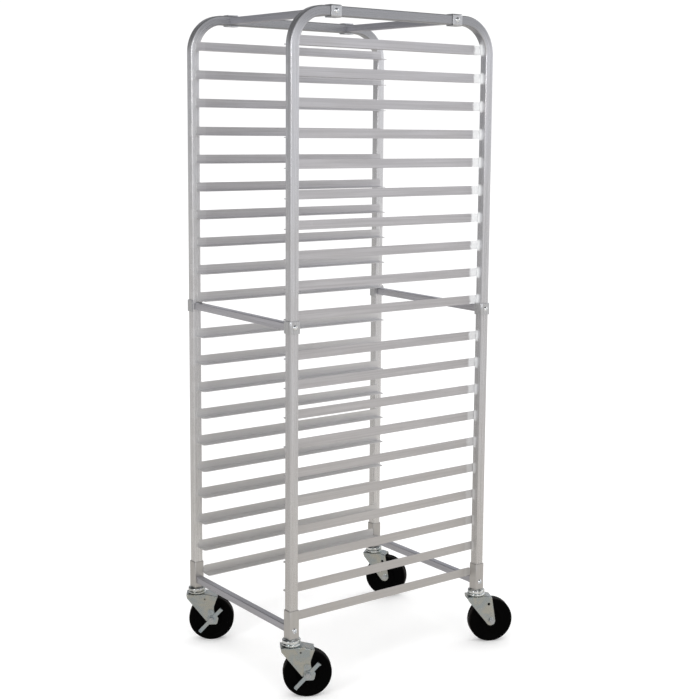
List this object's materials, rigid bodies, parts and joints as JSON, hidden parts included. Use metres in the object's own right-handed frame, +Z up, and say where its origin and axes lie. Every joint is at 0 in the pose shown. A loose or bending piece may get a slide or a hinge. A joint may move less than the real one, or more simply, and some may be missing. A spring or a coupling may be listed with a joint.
{
  "type": "sheet pan rack",
  "caption": "Tall open aluminium rack on swivel casters; two bent tube side frames carry angle runners that hold sheet pans, joined by square cross rails.",
  "frame": {"origin": "on the floor, midway between the four caster swivel axes", "axes": "+Z up, +X to the rack's right, -Y towards the end the pans are loaded from"},
  "size_m": [0.5915, 0.7697, 1.7685],
  "materials": {
    "frame_tube": "satin mill finish tube",
    "runner_angle": "satin extruded angle",
    "cross_tube": "satin mill finish tube",
    "saddle_plate": "satin plate",
    "sleeve_tube": "satin tube with weld beads",
    "plug_metal": "machined",
    "bolt_steel": "bright zinc plate",
    "caster_zinc": "bluish zinc plated pressed steel",
    "brake_zinc": "bluish zinc plated strap",
    "bushing_steel": "turned",
    "wheel_black": "solid black, slight sheen"
  },
  "bodies": {
    "rack": {"side_frame_left": "frame_tube", "side_frame_right": "frame_tube", "runners_left_upper": "runner_angle", "runners_left_lower": "runner_angle", "runners_right_upper": "runner_angle", "runners_right_lower": "runner_angle", "top_rail_front": "cross_tube", "top_rail_rear": "cross_tube", "mid_rail_front": "cross_tube", "mid_rail_rear": "cross_tube", "low_rail_front": "cross_tube", "low_rail_rear": "cross_tube", "top_saddles": "saddle_plate", "mid_saddles": "saddle_plate", "foot_sleeve_fl": "sleeve_tube", "foot_sleeve_fr": "sleeve_tube", "foot_sleeve_rr": "sleeve_tube", "foot_sleeve_rl": "sleeve_tube", "top_rail_plugs": "plug_metal", "mid_rail_plugs": "plug_metal", "low_rail_plugs": "plug_metal", "top_rail_bolts": "bolt_steel", "mid_rail_bolts": "bolt_steel", "low_rail_bolts": "bolt_steel", "caster_socket_fl": "plug_metal", "caster_socket_fr": "plug_metal", "caster_socket_rr": "plug_metal", "caster_socket_rl": "plug_metal", "caster_fl_stem": "caster_zinc", "caster_fr_stem": "caster_zinc", "caster_rr_stem": "caster_zinc", "caster_rl_stem": "caster_zinc"},
    "caster_fl": {"caster_fl_race": "caster_zinc", "caster_fl_fork": "caster_zinc", "caster_fl_bushing": "bushing_steel", "caster_fl_axle_bolt": "bolt_steel", "caster_fl_axle_nut": "bolt_steel", "caster_fl_brake_plate": "brake_zinc"},
    "wheel_fl": {"caster_fl_wheel": "wheel_black"},
    "brake_fl": {"caster_fl_brake_lever": "brake_zinc"},
    "caster_fr": {"caster_fr_race": "caster_zinc", "caster_fr_fork": "caster_zinc", "caster_fr_bushing": "bushing_steel", "caster_fr_axle_bolt": "bolt_steel", "caster_fr_axle_nut": "bolt_steel", "caster_fr_brake_plate": "brake_zinc"},
    "wheel_fr": {"caster_fr_wheel": "wheel_black"},
    "brake_fr": {"caster_fr_brake_lever": "brake_zinc"},
    "caster_rr": {"caster_rr_race": "caster_zinc", "caster_rr_fork": "caster_zinc", "caster_rr_bushing": "bushing_steel", "caster_rr_axle_bolt": "bolt_steel", "caster_rr_axle_nut": "bolt_steel"},
    "wheel_rr": {"caster_rr_wheel": "wheel_black"},
    "caster_rl": {"caster_rl_race": "caster_zinc", "caster_rl_fork": "caster_zinc", "caster_rl_bushing": "bushing_steel", "caster_rl_axle_bolt": "bolt_steel", "caster_rl_axle_nut": "bolt_steel"},
    "wheel_rl": {"caster_rl_wheel": "wheel_black"}
  },
  "joints": [
    {"name": "caster_fl_swivel", "type": "hinge", "parent": "rack", "child": "caster_fl", "pos_m": [-0.24447, -0.3175, 0.14], "axis": [0, 0, 1], "continuous": true},
    {"name": "wheel_fl_roll", "type": "hinge", "parent": "caster_fl", "child": "wheel_fl", "pos_m": [-0.22198, -0.28286, 0.0635], "axis": [-0.8387, 0.5446, 0], "continuous": true},
    {"name": "brake_fl_press", "type": "hinge", "parent": "caster_fl", "child": "brake_fl", "pos_m": [-0.22198, -0.28286, 0.0635], "axis": [-0.8387, 0.5446, 0], "range_deg": [0, 35]},
    {"name": "caster_fr_swivel", "type": "hinge", "parent": "rack", "child": "caster_fr", "pos_m": [0.24447, -0.3175, 0.14], "axis": [0, 0, 1], "continuous": true},
    {"name": "wheel_fr_roll", "type": "hinge", "parent": "caster_fr", "child": "wheel_fr", "pos_m": [0.26512, -0.28173, 0.0635], "axis": [-0.866, 0.5, 0], "continuous": true},
    {"name": "brake_fr_press", "type": "hinge", "parent": "caster_fr", "child": "brake_fr", "pos_m": [0.26512, -0.28173, 0.0635], "axis": [-0.866, 0.5, 0], "range_deg": [0, 35]},
    {"name": "caster_rr_swivel", "type": "hinge", "parent": "rack", "child": "caster_rr", "pos_m": [0.24447, 0.3175, 0.14], "axis": [0, 0, 1], "continuous": true},
    {"name": "wheel_rr_roll", "type": "hinge", "parent": "caster_rr", "child": "wheel_rr", "pos_m": [0.26322, 0.3543, 0.0635], "axis": [-0.891, 0.454, 0], "continuous": true},
    {"name": "caster_rl_swivel", "type": "hinge", "parent": "rack", "child": "caster_rl", "pos_m": [-0.24447, 0.3175, 0.14], "axis": [0, 0, 1], "continuous": true},
    {"name": "wheel_rl_roll", "type": "hinge", "parent": "caster_rl", "child": "wheel_rl", "pos_m": [-0.21238, 0.34349, 0.0635], "axis": [-0.6293, 0.7771, 0], "continuous": true}
  ]
}
